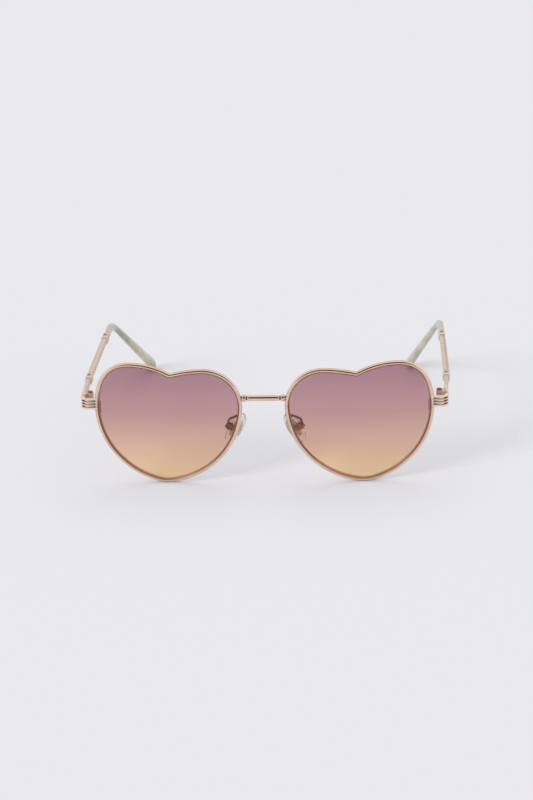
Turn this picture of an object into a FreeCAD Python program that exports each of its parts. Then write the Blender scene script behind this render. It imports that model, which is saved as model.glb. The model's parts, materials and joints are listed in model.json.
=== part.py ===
import FreeCAD, Part
import math
import os
from FreeCAD import Placement, Rotation, Vector

# Heart shaped sunglasses with a thin metal frame, standing open on a table.
# X runs to the right as the glasses face the viewer, Y runs to the back along the temples, Z is up.
# The table is Z = 0, and the rims and both temple tips stand on it.
# Every sub-part is built once for the right side and mirrored for the left. Lengths are millimetres.

# Heart outline of the lens opening, on a flat sheet: U is outwards from the nose, V is up
opening_half_width = 28.0
opening_height = 48.1
notch_inward = 1.0
notch_depth = 3.85
outer_lobe_offset = 14.0
inner_lobe_offset = 15.0
inner_lobe_drop = 2.0
bottom_offset = 1.65
outer_shoulder_radius = 11.9
inner_shoulder_radius = 14.0
outer_flank_angle = 15.13
inner_flank_angle = 9.94
bottom_radius = 11.2
notch_radius = 2.0

# How the two lenses stand in the front
lens_curve_radius = 140.0
lens_gap = 19.7
wrap_angle = 4.0
tilt_angle = 5.0

# Eyewire section, half-round on the front, with a groove for the lens on the inner side
rim_width = 1.65
rim_depth = 2.2
rim_front_rise = 0.55
rim_back_radius = 0.5
groove_depth = 0.5
groove_half_width = 0.45

# Lens
lens_thickness = 1.2
lens_edge_clearance = 0.05
lens_bevel_clearance = 0.08

# Split of the eyewire, with its closing block and screw
closing_slit = 0.12
closing_radius = 0.95
closing_upper_height = 2.4
closing_lower_height = 2.0
rim_screw_radius = 0.45
rim_screw_head_radius = 0.65
rim_screw_head_height = 0.45
rim_screw_clearance = 0.2

# Bridge bar, turned with a bead and a neck at each end
bridge_rise = 11.1
bridge_bar_radius = 1.15
bridge_groove_radius = 0.8
bridge_bead_radius = 1.4
bridge_bead_length = 1.7
bridge_gap_length = 0.35
bridge_neck_radius = 0.85
bridge_neck_length = 1.1

# Endpiece: a ridged strip from the rim round the corner to the hinge
endpiece_reach = 6.6
endpiece_rise = 7.9
endpiece_height = 4.7
endpiece_thickness = 1.5
endpiece_forward = 0.4
endpiece_corner_radius = 2.8
ridge_count = 4
ridge_height = 0.5

# Hinge
hinge_setback = 8.0
hinge_height = 5.4
hinge_drop = 2.2
hinge_plate_thickness = 0.6
hinge_plate_length = 2.5
hinge_web_length = 1.1
barrel_radius = 1.3
barrel_clearance = 0.2
knuckle_gap = 0.08
hinge_screw_radius = 0.6
hinge_screw_head_radius = 1.05
hinge_screw_head_height = 0.55
running_clearance = 0.05
butt_gap = 0.1

# Temple, measured back from the hinge
temple_rise = 1.0
temple_outset = 0.7
leaf_thickness = 1.4
leaf_height = 5.0
leaf_edge_radius = 0.5
leaf_flat_length = 5.0
rod_width = 1.8
rod_height = 2.6
rod_edge_radius = 0.6
front_collar_setback = 20.2
front_collar_length = 5.0
rear_collar_setback = 72.0
rear_collar_length = 5.5
collar_width = 2.7
collar_height = 3.5
collar_edge_radius = 0.9
collar_chamfer = 0.3
collar_clearance = 0.02
collar_pin_radius = 0.45
collar_pin_clearance = 0.02
collar_pin_head_radius = 0.7
collar_pin_head_height = 0.22
bead_pitch = 2.9
bead_radius = 1.05
bead_proud = 0.7

# Temple tip, a plastic sleeve on the core wire, bent down and in behind the ear
tip_start_width = 2.5
tip_start_height = 2.9
ear_setback = 87.5
ear_corner_radius = 21.0
tip_middle_height = 3.4
tip_droop_angle = 40.0
tip_toe_angle = 20.5
tip_end_width = 3.6
tip_end_height = 6.2
tip_end_rounding = 3.0
core_radius = 0.7
core_clearance = 0.03
core_short_of_end = 9.0
tip_first_run = 30.0

# Both temples stand folded in by a small angle
fold_at_rest = 1.2

# Nose pads
pad_height = 13.6
pad_length = 7.6
pad_thickness = 2.5
pad_edge_radius = 1.1
pad_apart = 23.6
pad_setback = 9.0
pad_drop = 4.2
pad_lean_angle = 32.0
pad_splay_angle = 32.0
pad_core_height = 8.0
pad_core_length = 3.2
pad_core_thickness = 0.4
pad_tongue_height = 1.6
pad_tongue_thickness = 0.9
pad_pivot_offset = 2.6
pad_pivot_cover = 0.75
pad_screw_radius = 0.35
pad_screw_head_radius = 0.65
pad_screw_head_height = 0.35
pad_box_height = 2.3
pad_box_wall = 0.6
pad_box_clearance = 0.08
pad_box_reach = 1.0
pad_box_room = 0.45

# Nose pad arm: a wire from the back of the rim to the pad box
arm_radius = 0.45
arm_rise = 1.8
arm_first_run = 4.6
arm_corner_radius = 1.3
arm_outward = 3.6
arm_back = 1.2
arm_drop = 2.0

slot_width = 0.25
slot_depth = 0.22
overrun = 1.0

origin = Vector(0, 0, 0)
axis_x = Vector(1, 0, 0)
axis_y = Vector(0, 1, 0)
axis_z = Vector(0, 0, 1)


# Flat geometry of the heart outline

def flat(u, v):
    """Point on the flat sheet of the heart outline."""
    return Vector(u, v, 0)


def toward(start, end, distance):
    """Point at a distance from start on the line to end."""
    return start + (end - start).normalize() * distance


def outer_crossing(centre_a, radius_a, centre_b, radius_b):
    """Where two circles cross, taking the crossing further out."""
    span = centre_b - centre_a
    apart = span.Length
    along = (radius_a ** 2 - radius_b ** 2 + apart ** 2) / (2 * apart)
    aside = math.sqrt(radius_a ** 2 - along ** 2)
    middle = toward(centre_a, centre_b, along)
    across = flat(-span.y, span.x).normalize() * aside
    return max(middle + across, middle - across, key=lambda point: point.x)


def flip(point):
    """The same flat point on the nose side of the heart."""
    return flat(-point.x, point.y)


def heart_half(lobe, notch, bottom_centre, shoulder_radius, flank_angle):
    """Circles of one half of the heart with U growing outwards, and the points where they touch."""
    rise = lobe.y - notch.y
    run = lobe.x - notch.x
    lobe_radius = (run ** 2 + rise ** 2) / (2 * rise)
    lobe_centre = lobe - flat(0, lobe_radius)
    slope = math.sin(math.radians(flank_angle))
    side_radius = (opening_half_width - bottom_centre.x - bottom_radius * slope) / (1 - slope)
    from_bottom = flat(-slope, math.cos(math.radians(flank_angle)))
    side_centre = bottom_centre + from_bottom * (side_radius - bottom_radius)
    shoulder_centre = outer_crossing(
        lobe_centre, lobe_radius - shoulder_radius, side_centre, side_radius - shoulder_radius)
    return {
        "lobe_centre": lobe_centre,
        "lobe_radius": lobe_radius,
        "bottom_centre": bottom_centre,
        "side_centre": side_centre,
        "shoulder_centre": shoulder_centre,
        "lobe_end": toward(lobe_centre, shoulder_centre, lobe_radius),
        "side_start": toward(side_centre, shoulder_centre, side_radius),
        "side_end": toward(side_centre, bottom_centre, side_radius),
    }


def arc_points(centre, start, end):
    """Start, middle and end of an arc of less than half a turn."""
    middle = toward(centre, (start + end) * 0.5, (start - centre).Length)
    return start, middle, end


def heart_arcs():
    """The heart as touching arcs, counter-clockwise from the bottom, and the outer half's side circle."""
    top = opening_height / 2
    notch = flat(-notch_inward, top - notch_depth)
    bottom_centre = flat(bottom_offset, bottom_radius - top)
    outer = heart_half(
        flat(outer_lobe_offset, top), notch, bottom_centre, outer_shoulder_radius, outer_flank_angle)
    inner = heart_half(
        flat(inner_lobe_offset, top - inner_lobe_drop), flip(notch), flip(bottom_centre),
        inner_shoulder_radius, inner_flank_angle)
    inner = {name: flip(value) if name != "lobe_radius" else value for name, value in inner.items()}
    notch_centre = notch_fillet_centre(outer, inner)
    notch_start = toward(outer["lobe_centre"], notch_centre, outer["lobe_radius"])
    notch_end = toward(inner["lobe_centre"], notch_centre, inner["lobe_radius"])
    arcs = [
        arc_points(bottom_centre, inner["side_end"], outer["side_end"]),
        arc_points(outer["side_centre"], outer["side_end"], outer["side_start"]),
        arc_points(outer["shoulder_centre"], outer["side_start"], outer["lobe_end"]),
        arc_points(outer["lobe_centre"], outer["lobe_end"], notch_start),
        arc_points(notch_centre, notch_start, notch_end),
        arc_points(inner["lobe_centre"], notch_end, inner["lobe_end"]),
        arc_points(inner["shoulder_centre"], inner["lobe_end"], inner["side_start"]),
        arc_points(inner["side_centre"], inner["side_start"], inner["side_end"]),
    ]
    return arcs, outer, inner


def notch_fillet_centre(outer, inner):
    """Centre of the small arc that rounds the notch, touching both lobes from above."""
    outer_reach = outer["lobe_radius"] + notch_radius
    inner_reach = inner["lobe_radius"] + notch_radius
    span = inner["lobe_centre"] - outer["lobe_centre"]
    along = (outer_reach ** 2 - inner_reach ** 2 + span.Length ** 2) / (2 * span.Length)
    aside = math.sqrt(outer_reach ** 2 - along ** 2)
    middle = toward(outer["lobe_centre"], inner["lobe_centre"], along)
    across = flat(-span.y, span.x).normalize() * aside
    return max(middle + across, middle - across, key=lambda point: point.y)


arcs, outer_half, inner_half = heart_arcs()


# The heart laid on the lens sphere. Seen from the lens, X is outwards, Y is back and Z is up.
# The flat sheet touches the sphere at the lens centre and is projected from the sphere's far point,
# which turns every arc into a circle on the sphere and keeps the arcs touching.

sphere_centre = Vector(0, lens_curve_radius, 0)


def on_sphere(point):
    """Lay a flat point on the lens sphere."""
    reach = point.x ** 2 + point.y ** 2
    whole = (2 * lens_curve_radius) ** 2
    share = whole / (whole + reach)
    return Vector(point.x * share, 2 * lens_curve_radius * reach / (whole + reach), point.y * share)


def section_frame(point, forward):
    """Outward and front directions of the eyewire section at a point of its path."""
    front = (point - sphere_centre).normalize()
    outward = forward.cross(front).normalize()
    return outward, front


def ring_segment(arc, section):
    """Turn a section along one arc of the heart, about the arc's axis through the sphere's centre."""
    start, middle, end = [on_sphere(point) for point in arc]
    axis = (middle - start).cross(end - middle).normalize()
    outward, front = section_frame(start, axis.cross(start - sphere_centre))
    hub = sphere_centre + axis * (start - sphere_centre).dot(axis)
    from_hub = start - hub
    to_hub = end - hub
    turn = math.atan2(from_hub.cross(to_hub).dot(axis), from_hub.dot(to_hub))
    face = section(lambda aside, ahead: start + outward * aside + front * ahead)
    return face.revolve(sphere_centre, axis, math.degrees(turn))


def ring(section):
    """Closed heart-shaped ring with a constant section."""
    segments = [ring_segment(arc, section) for arc in arcs]
    return segments[0].multiFuse(segments[1:]).removeSplitter()


def line(start, end):
    return Part.makeLine(start, end)


def bow(start, middle, end):
    return Part.Arc(start, middle, end).toShape()


def face_of(edges):
    return Part.Face(Part.Wire(edges))


def eyewire_section(at):
    """Half-round front, round back corner and lens groove. at(aside, ahead) places a point."""
    half = rim_depth / 2
    edge = half - rim_front_rise
    corner = rim_back_radius * (1 - math.sqrt(0.5))
    back_start = at(rim_width, rim_back_radius - half)
    back_middle = at(rim_width - corner, corner - half)
    back_end = at(rim_width - rim_back_radius, -half)
    return face_of([
        line(at(0, groove_half_width), at(0, edge)),
        bow(at(0, edge), at(rim_width / 2, half), at(rim_width, edge)),
        line(at(rim_width, edge), back_start),
        bow(back_start, back_middle, back_end),
        line(back_end, at(0, -half)),
        line(at(0, -half), at(0, -groove_half_width)),
        line(at(0, -groove_half_width), at(groove_depth, 0)),
        line(at(groove_depth, 0), at(0, groove_half_width)),
    ])


def outside_lens_section(at):
    """What is taken off round the lens, leaving a bevelled edge that fits the groove."""
    edge = -lens_edge_clearance
    tip = groove_depth - lens_bevel_clearance
    half = groove_half_width - lens_bevel_clearance
    far = lens_thickness
    corners = [
        at(edge, far), at(edge, half), at(tip, 0), at(edge, -half),
        at(edge, -far), at(rim_width, -far), at(rim_width, far), at(edge, far)]
    return Part.Face(Part.makePolygon(corners))


def lens():
    """Curved lens of even thickness, cut to the heart."""
    reach = opening_half_width + rim_width
    tall = opening_height / 2 + rim_width
    blank = Part.makeBox(2 * reach, lens_curve_radius / 2, 2 * tall, Vector(-reach, -lens_thickness, -tall))
    front = Part.makeSphere(lens_curve_radius + lens_thickness / 2, sphere_centre)
    back = Part.makeSphere(lens_curve_radius - lens_thickness / 2, sphere_centre)
    pieces = blank.common(front).cut(back).cut(ring(outside_lens_section)).Solids
    return min(pieces, key=lambda piece: piece.CenterOfMass.Length)


def outline_circle(half, rise):
    """Centre and radius of the arc that a half's outline follows at a height over the lens centre."""
    if rise > half["side_start"].y:
        return half["shoulder_centre"], (half["side_start"] - half["shoulder_centre"]).Length
    if rise < half["side_end"].y:
        return half["bottom_centre"], bottom_radius
    return half["side_centre"], (half["side_end"] - half["side_centre"]).Length


def rim_point(half, rise, aside, ahead):
    """Point of the rim at a height on a half's side, aside from the opening and ahead to the front."""
    centre, radius = outline_circle(half, rise)
    outwards = math.copysign(1, half["side_start"].x)
    radial = flat(outwards * math.sqrt(radius ** 2 - (rise - centre.y) ** 2), rise - centre.y)
    start = centre + radial
    point = on_sphere(start)
    forward = on_sphere(start + flat(-radial.y, radial.x).normalize() * overrun) - point
    outward, front = section_frame(point, forward)
    return point + outward * aside + front * ahead


def cylinder(base, axis, radius, height):
    return Part.makeCylinder(radius, height, base, axis)


def screw(base, axis, shank_radius, shank_length, head_radius, head_height):
    """Slotted screw whose head stands on top of the shank, base at the shank's foot."""
    seat = base + axis * shank_length
    body = cylinder(base, axis, shank_radius, shank_length)
    head = cylinder(seat, axis, head_radius, head_height)
    rounding = head_height / 2
    head = head.makeFillet(rounding, [edge for edge in head.Edges if on_top(edge, seat, axis, head_height)])
    slot = Part.makeBox(2 * head_radius + overrun, slot_width, slot_depth + overrun)
    slot.translate(Vector(-head_radius - overrun / 2, -slot_width / 2, head_height - slot_depth))
    slot.Placement = Placement(seat, Rotation(axis_z, axis)).multiply(slot.Placement)
    return body.fuse(head).cut(slot).removeSplitter()


def on_top(edge, seat, axis, height):
    """Whether a round edge lies on the top of a cylinder."""
    return edge.Closed and abs((edge.CenterOfMass - seat).dot(axis) - height) < height / 4


# Closing block: an upper and a lower barrel behind the rim, with a slit in the rim between them

slit_rise = endpiece_rise - endpiece_height / 2 - closing_slit
closing_setback = rim_depth / 2 + rim_screw_head_radius + rim_screw_clearance
closing_foot = rim_point(outer_half, slit_rise, rim_width / 2, -closing_setback)


def closing_block(rim):
    foot = closing_foot - axis_z * closing_lower_height
    lower = cylinder(foot, axis_z, closing_radius, closing_lower_height)
    upper = cylinder(closing_foot + axis_z * closing_slit, axis_z, closing_radius, closing_upper_height)
    bore_radius = rim_screw_radius + running_clearance
    bore_height = closing_lower_height + closing_upper_height + 2 * overrun
    bore = cylinder(foot - axis_z * overrun, axis_z, bore_radius, bore_height)
    return Part.makeCompound([barrel.cut(bore).cut(rim) for barrel in (lower, upper)])


def rim_screw():
    shank = closing_lower_height + closing_slit + closing_upper_height
    return screw(closing_foot - axis_z * closing_lower_height, axis_z, rim_screw_radius, shank,
                 rim_screw_head_radius, rim_screw_head_height)


def slit():
    """Cutter for the thin split of the eyewire."""
    depth = rim_depth + 2 * overrun
    width = rim_width + 2 * overrun
    corner = closing_foot - Vector(width / 2, rim_depth + overrun, 0)
    return Part.makeBox(width, depth, closing_slit, corner)


# Place of the lens frame in the glasses, with the lowest point of the rim on the table

lean = Rotation(axis_x, tilt_angle).multiply(Rotation(axis_z, wrap_angle))
plain_rim = ring(eyewire_section)


def moved(shape, placement):
    """A copy of a shape moved by a placement."""
    return shape.transformed(placement.toMatrix(), True)


lens_rise = -moved(plain_rim, Placement(origin, lean)).optimalBoundingBox(False).ZMin
lens_place = Placement(Vector(lens_gap / 2 + opening_half_width, 0, lens_rise), lean)


def from_lens(point):
    """A point of the lens frame, placed in the glasses."""
    return lens_place.multVec(point)


# Bridge

def bridge(rims):
    """Turned bar along X that runs into both rims, cut to their shape."""
    seat = from_lens(rim_point(inner_half, bridge_rise, rim_width / 2, 0))
    bead_end = seat.x - bridge_neck_length
    bead_start = bead_end - bridge_bead_length
    bar_end = bead_start - bridge_gap_length
    bead_middle = (bead_start + bead_end) / 2
    steps = [
        (0, bridge_bar_radius),
        (bar_end - bridge_gap_length, bridge_bar_radius),
        (bar_end, bridge_groove_radius),
        (bead_start, bridge_groove_radius),
        (bead_end, bridge_neck_radius),
        (seat.x, bridge_neck_radius)]
    at = [Vector(along, -radius, 0) for along, radius in steps]
    edges = [line(at[0], at[1]), line(at[1], at[2]), line(at[2], at[3])]
    edges.append(bow(at[3], Vector(bead_middle, -bridge_bead_radius, 0), at[4]))
    edges += [line(at[4], at[5]), line(at[5], Vector(seat.x, 0, 0))]
    edges += [line(Vector(seat.x, 0, 0), origin), line(origin, at[0])]
    half = face_of(edges).revolve(origin, axis_x, 360)
    bar = half.fuse(mirrored(half)).removeSplitter()
    bar.translate(Vector(0, seat.y, seat.z))
    return largest(bar.cut(rims))


def mirrored(shape):
    return shape.mirror(origin, axis_x)


def largest(shape):
    return max(shape.Solids, key=lambda solid: solid.Volume)


# Endpiece

endpiece_root = from_lens(rim_point(outer_half, endpiece_rise, rim_width / 2, 0))
half_frame = endpiece_root.x + endpiece_reach
endpiece_inner_x = half_frame - endpiece_thickness
endpiece_front_y = endpiece_root.y - endpiece_forward - endpiece_thickness / 2
hinge_y = hinge_setback


def ridged_section(at):
    """Strip section with round ridges on its outer side. at(out, up) places a point."""
    valley = endpiece_thickness - ridge_height
    pitch = endpiece_height / ridge_count
    foot = -endpiece_height / 2
    edges = []
    for ridge in range(ridge_count):
        low = foot + ridge * pitch
        edges.append(bow(
            at(valley, low), at(endpiece_thickness, low + pitch / 2), at(valley, low + pitch)))
    edges.append(line(at(valley, -foot), at(0, -foot)))
    edges.append(line(at(0, -foot), at(0, foot)))
    edges.append(line(at(0, foot), at(valley, foot)))
    return face_of(edges)


def endpiece(rim):
    """Front run from the rim, round corner, and side run back to the hinge."""
    corner_x = half_frame - endpiece_corner_radius
    corner_y = endpiece_front_y + endpiece_corner_radius
    corner = Vector(corner_x, corner_y, endpiece_root.z)
    inner_y = endpiece_front_y + endpiece_thickness
    front = ridged_section(lambda out, up: Vector(corner.x, inner_y - out, endpiece_root.z + up))
    side = ridged_section(lambda out, up: Vector(endpiece_inner_x + out, corner.y, endpiece_root.z + up))
    front_run = front.extrude(Vector(endpiece_root.x - corner.x, 0, 0))
    bend = front.revolve(corner, axis_z, 90)
    side_run = side.extrude(Vector(0, hinge_y - butt_gap / 2 - corner.y, 0))
    return largest(front_run.multiFuse([bend, side_run]).removeSplitter().cut(rim))


# Hinge: two knuckles on the endpiece's plate, one between them on the temple's plate

hinge_x = endpiece_inner_x - hinge_plate_thickness - barrel_clearance - barrel_radius
hinge_foot = endpiece_root.z - hinge_drop
knuckle_height = (hinge_height - 2 * knuckle_gap) / 3
knuckle_step = knuckle_height + knuckle_gap
bore_radius = hinge_screw_radius + running_clearance
hinge_base = Vector(hinge_x, hinge_y, hinge_foot)
plate_inner_x = endpiece_inner_x - hinge_plate_thickness


def knuckle(level, direction):
    """One barrel with its web to the plate; direction is -1 towards the front, 1 towards the temple."""
    base = hinge_base + axis_z * (level * knuckle_step)
    near = min(direction * butt_gap / 2, direction * (butt_gap / 2 + hinge_web_length))
    web = Part.makeBox(plate_inner_x - hinge_x, hinge_web_length, knuckle_height, base + axis_y * near)
    bore = cylinder(base - axis_z * overrun, axis_z, bore_radius, knuckle_height + 2 * overrun)
    return cylinder(base, axis_z, barrel_radius, knuckle_height).fuse(web).cut(bore)


def hinge_plate(direction, foot, height):
    near = min(direction * butt_gap / 2, direction * (butt_gap / 2 + hinge_plate_length))
    corner = Vector(plate_inner_x, hinge_y + near, foot)
    return Part.makeBox(hinge_plate_thickness, hinge_plate_length, height, corner)


def front_hinge(endpiece_shape):
    plate = hinge_plate(-1, hinge_foot, hinge_height)
    return plate.multiFuse([knuckle(0, -1), knuckle(2, -1)]).cut(endpiece_shape).removeSplitter()


def temple_hinge():
    foot = temple_z - leaf_height / 2 + leaf_edge_radius
    plate = hinge_plate(1, foot, leaf_height - 2 * leaf_edge_radius)
    return plate.fuse(knuckle(1, 1)).removeSplitter()


def hinge_screw():
    return screw(hinge_base, axis_z, hinge_screw_radius, hinge_height,
                 hinge_screw_head_radius, hinge_screw_head_height)


# Temple, with its own axis along Y at temple_x and temple_z

temple_z = endpiece_root.z + temple_rise
leaf_x = endpiece_inner_x + leaf_thickness / 2
temple_x = leaf_x + temple_outset


def rounded_box_wire(width, height, radius, centre):
    """Rectangle with round corners across the temple."""
    wide = width / 2
    tall = height / 2
    inset = radius * (1 - math.sqrt(0.5))
    edges = []
    for right, up in ((1, 1), (-1, 1), (-1, -1), (1, -1)):
        start = Vector(right * wide, 0, up * (tall - radius))
        middle = Vector(right * (wide - inset), 0, up * (tall - inset))
        end = Vector(right * (wide - radius), 0, up * tall)
        if right != up:
            start, end = end, start
        edges.append((start, middle, end))
    outline = []
    for index, (start, middle, end) in enumerate(edges):
        outline.append(bow(start + centre, middle + centre, end + centre))
        outline.append(line(end + centre, edges[(index + 1) % len(edges)][0] + centre))
    return Part.Wire(outline)


def along_temple(distance, x=temple_x):
    """Point on the temple's axis at a distance behind the hinge."""
    return Vector(x, hinge_y + distance, temple_z)


def rod_section(distance, grow=0.0):
    centre = along_temple(distance)
    return rounded_box_wire(rod_width + 2 * grow, rod_height + 2 * grow, rod_edge_radius + grow, centre)


def rod_run(start, end, grow=0.0):
    return Part.Face(rod_section(start, grow)).extrude(axis_y * (end - start))


def leaf():
    """Flat leaf at the hinge, then a taper into the rod."""
    ends = [along_temple(distance, leaf_x) for distance in (butt_gap / 2, leaf_flat_length)]
    start, seat = [rounded_box_wire(leaf_thickness, leaf_height, leaf_edge_radius, end) for end in ends]
    flat_part = Part.Face(start).extrude(axis_y * (leaf_flat_length - butt_gap / 2))
    taper = Part.makeLoft([seat, rod_section(front_collar_setback)], True, True)
    return flat_part.fuse(taper)


def beads():
    """Row of half-sunk beads on the rod's outer side, between the collars."""
    start = front_collar_setback + front_collar_length
    room = rear_collar_setback - start
    count = int((room - bead_radius) / bead_pitch)
    first = start + (room - (count - 1) * bead_pitch) / 2
    out = rod_width / 2 + bead_proud - bead_radius
    return [Part.makeSphere(bead_radius, along_temple(first + index * bead_pitch, temple_x + out))
            for index in range(count)]


rear_collar_end = rear_collar_setback + rear_collar_length
pin_places = [start + length / 2 for start, length in
              ((front_collar_setback, front_collar_length), (rear_collar_setback, rear_collar_length))]


def pin_bores():
    """Cutter for the pin holes through the collars and the rod."""
    radius = collar_pin_radius + collar_pin_clearance
    height = collar_height + 2 * overrun
    feet = [along_temple(place) - axis_z * (height / 2) for place in pin_places]
    return [cylinder(foot, axis_z, radius, height) for foot in feet]


def collar(start, length):
    """Sleeve round the rod with rounded ends."""
    body = Part.Face(rounded_box_wire(
        collar_width, collar_height, collar_edge_radius, along_temple(start))).extrude(axis_y * length)
    ends = [edge for edge in body.Edges if abs(edge.tangentAt(edge.FirstParameter).y) < 0.5]
    body = body.makeChamfer(collar_chamfer, ends)
    hole = rod_run(start - overrun, start + length + overrun, collar_clearance)
    return body.cut(hole).cut(Part.makeCompound(pin_bores()))


def collar_pins():
    """A pin through each collar, with a low head above and below."""
    pins = []
    for place in pin_places:
        middle = along_temple(place)
        pin = cylinder(middle - axis_z * (collar_height / 2), axis_z, collar_pin_radius, collar_height)
        for direction in (1, -1):
            seat = middle + axis_z * (direction * collar_height / 2)
            head = Part.makeCone(
                collar_pin_head_radius, collar_pin_radius, collar_pin_head_height, seat, axis_z * direction)
            pin = pin.fuse(head)
        pins.append(pin)
    return Part.makeCompound(pins)


# Temple tip and its core wire. The bend turns about an axis across the tip, tilted inwards by the toe angle.

toe = Rotation(axis_y, tip_toe_angle)
bend_axis = toe.multVec(axis_x * -1)
bend_base = along_temple(ear_setback)
bend_centre = bend_base + toe.multVec(axis_z * -ear_corner_radius)
droop = Rotation(bend_axis, tip_droop_angle)
tip_direction = droop.multVec(axis_y)
bend_end = bend_centre + droop.multVec(bend_base - bend_centre)


def tip_frame(centre, turned):
    """Place on the tip's middle line: X across the tip, Y down in the bend's plane, Z along it."""
    return Placement(centre, turned.multiply(toe).multiply(Rotation(axis_x, -90)))


def tip_section(width, height, centre, turned):
    """Oval across the tip: width from side to side, height in the plane of the bend."""
    corners = sorted([axis_x * (width / 2), axis_y * (height / 2)], key=lambda corner: -corner.Length)
    wire = Part.Wire(Part.Ellipse(corners[0], corners[1], origin).toShape())
    wire.Placement = tip_frame(centre, turned)
    return wire


def tip_end_run(run):
    """Last straight part of the tip, wider towards its rounded end."""
    end = bend_end + tip_direction * (run - tip_end_rounding)
    first = tip_section(tip_start_width, tip_middle_height, bend_end, droop)
    last = tip_section(tip_end_width, tip_end_height, end, droop)
    stretch = FreeCAD.Matrix()
    stretch.scale(tip_end_width / 2, tip_end_height / 2, tip_end_rounding)
    cap = Part.makeSphere(1, origin, axis_z, 0, 90, 360).transformGeometry(stretch)
    cap.Placement = tip_frame(end, droop)
    return Part.makeLoft([first, last], True, True).fuse(cap)


def tip_run_to_table():
    """Length of the last straight part with which the tip just stands on the table."""
    lowest = tip_end_run(tip_first_run).optimalBoundingBox(False).ZMin
    return tip_first_run - lowest / tip_direction.z


tip_run = tip_run_to_table()


def core(radius, short):
    """Core wire along the tip's middle line."""
    straight = cylinder(along_temple(rear_collar_end), axis_y, radius, ear_setback - rear_collar_end)
    disc = Part.Face(Part.Wire(Part.makeCircle(radius, bend_base, axis_y)))
    bend = disc.revolve(bend_centre, bend_axis, tip_droop_angle)
    last = cylinder(bend_end, tip_direction, radius, tip_run - short)
    return straight.multiFuse([bend, last]).removeSplitter()


def temple_tip():
    start = tip_section(tip_start_width, tip_start_height, along_temple(rear_collar_end), Rotation())
    at_bend = tip_section(tip_start_width, tip_middle_height, bend_base, Rotation())
    first = Part.makeLoft([start, at_bend], True, True)
    bend = Part.Face(at_bend).revolve(bend_centre, bend_axis, tip_droop_angle)
    sleeve = first.multiFuse([bend, tip_end_run(tip_run)])
    return sleeve.cut(core(core_radius + core_clearance, core_short_of_end - overrun))


def temple_shaft():
    rod = rod_run(front_collar_setback, rear_collar_end)
    wire = core(core_radius, core_short_of_end)
    shaft = leaf().multiFuse([rod, wire] + beads())
    return shaft.cut(Part.makeCompound(pin_bores())).removeSplitter()


# Nose pad, built upright with the nose on the -X side, then leaned and splayed

pad_centre = Vector(pad_apart / 2, pad_setback, lens_rise - pad_drop)
pad_turn = Rotation(axis_y, -pad_lean_angle).multiply(Rotation(axis_z, -pad_splay_angle))
pad_place = Placement(pad_centre, pad_turn)
pad_pivot = pad_place.multVec(Vector(pad_pivot_offset, 0, 0))
pad_axis = pad_turn.multVec(axis_y)
cheek_inner = pad_tongue_thickness / 2 + pad_box_clearance
cheek_outer = cheek_inner + pad_box_wall
tongue_end = pad_pivot_offset + pad_pivot_cover
box_start = pad_pivot_offset - pad_box_reach
box_inner = tongue_end + pad_box_room
box_outer = box_inner + pad_box_wall


def oval_plate(height, length, low, high):
    """Upright oval plate between two X values."""
    edge = Part.Ellipse(origin, height / 2, length / 2).toShape()
    wire = Part.Wire(edge)
    wire.Placement = Placement(Vector(low, 0, 0), Rotation(axis_z, axis_y, axis_x * -1, "XYZ"))
    return Part.Face(wire).extrude(axis_x * (high - low))


def pad_core():
    """Oval insert inside the pad with a tongue for the pad screw."""
    half = pad_core_thickness / 2
    plate = oval_plate(pad_core_height, pad_core_length, -half, half)
    tongue = Part.makeBox(
        tongue_end, pad_tongue_thickness, pad_tongue_height,
        Vector(0, -pad_tongue_thickness / 2, -pad_tongue_height / 2))
    bore = cylinder(
        Vector(pad_pivot_offset, -overrun, 0), axis_y, pad_screw_radius + running_clearance, 2 * overrun)
    return plate.fuse(tongue).cut(bore).removeSplitter()


def nose_pad(core_shape):
    """Clear oval pad with round edges, moulded round its insert."""
    half = pad_thickness / 2
    body = oval_plate(pad_height, pad_length, -half, half)
    rims_of_pad = [edge for edge in body.Edges if edge.Closed]
    return body.makeFillet(pad_edge_radius, rims_of_pad).cut(core_shape)


def pad_box_block():
    """Full block of the pad box, before its inside is cut."""
    corner = Vector(box_start, -cheek_outer, -pad_box_height / 2)
    return Part.makeBox(box_outer - box_start, 2 * cheek_outer, pad_box_height, corner)


def pad_box():
    """Open box that holds the tongue between two cheeks."""
    corner = Vector(box_start - overrun, -cheek_inner, -pad_box_height / 2 - overrun)
    inside = Part.makeBox(
        box_inner - box_start + overrun, 2 * cheek_inner, pad_box_height + 2 * overrun, corner)
    bore = cylinder(
        Vector(pad_pivot_offset, -cheek_outer - overrun, 0), axis_y,
        pad_screw_radius + running_clearance, 2 * (cheek_outer + overrun))
    return pad_box_block().cut(inside).cut(bore)


def pad_screw():
    """Screw through the box and the tongue, with its head to the back."""
    return screw(Vector(pad_pivot_offset, -cheek_outer, 0), axis_y, pad_screw_radius, 2 * cheek_outer,
                 pad_screw_head_radius, pad_screw_head_height)


def bent_wire(points, bend_radius, radius):
    """Round wire along straight runs with an arc at each inner point."""
    edges = []
    start = points[0]
    for before, corner, after in zip(points, points[1:], points[2:]):
        inward = (before - corner).normalize()
        outward = (after - corner).normalize()
        half_angle = inward.getAngle(outward) / 2
        back = bend_radius / math.tan(half_angle)
        centre = corner + (inward + outward).normalize() * (bend_radius / math.sin(half_angle))
        middle = toward(centre, corner, bend_radius)
        edges.append(line(start, corner + inward * back))
        edges.append(bow(corner + inward * back, middle, corner + outward * back))
        start = corner + outward * back
    edges.append(line(start, points[-1]))
    path = Part.Wire(edges)
    disc = Part.Wire(Part.makeCircle(radius, points[0], (points[1] - points[0])))
    return path.makePipeShell([disc], True, False)


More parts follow.
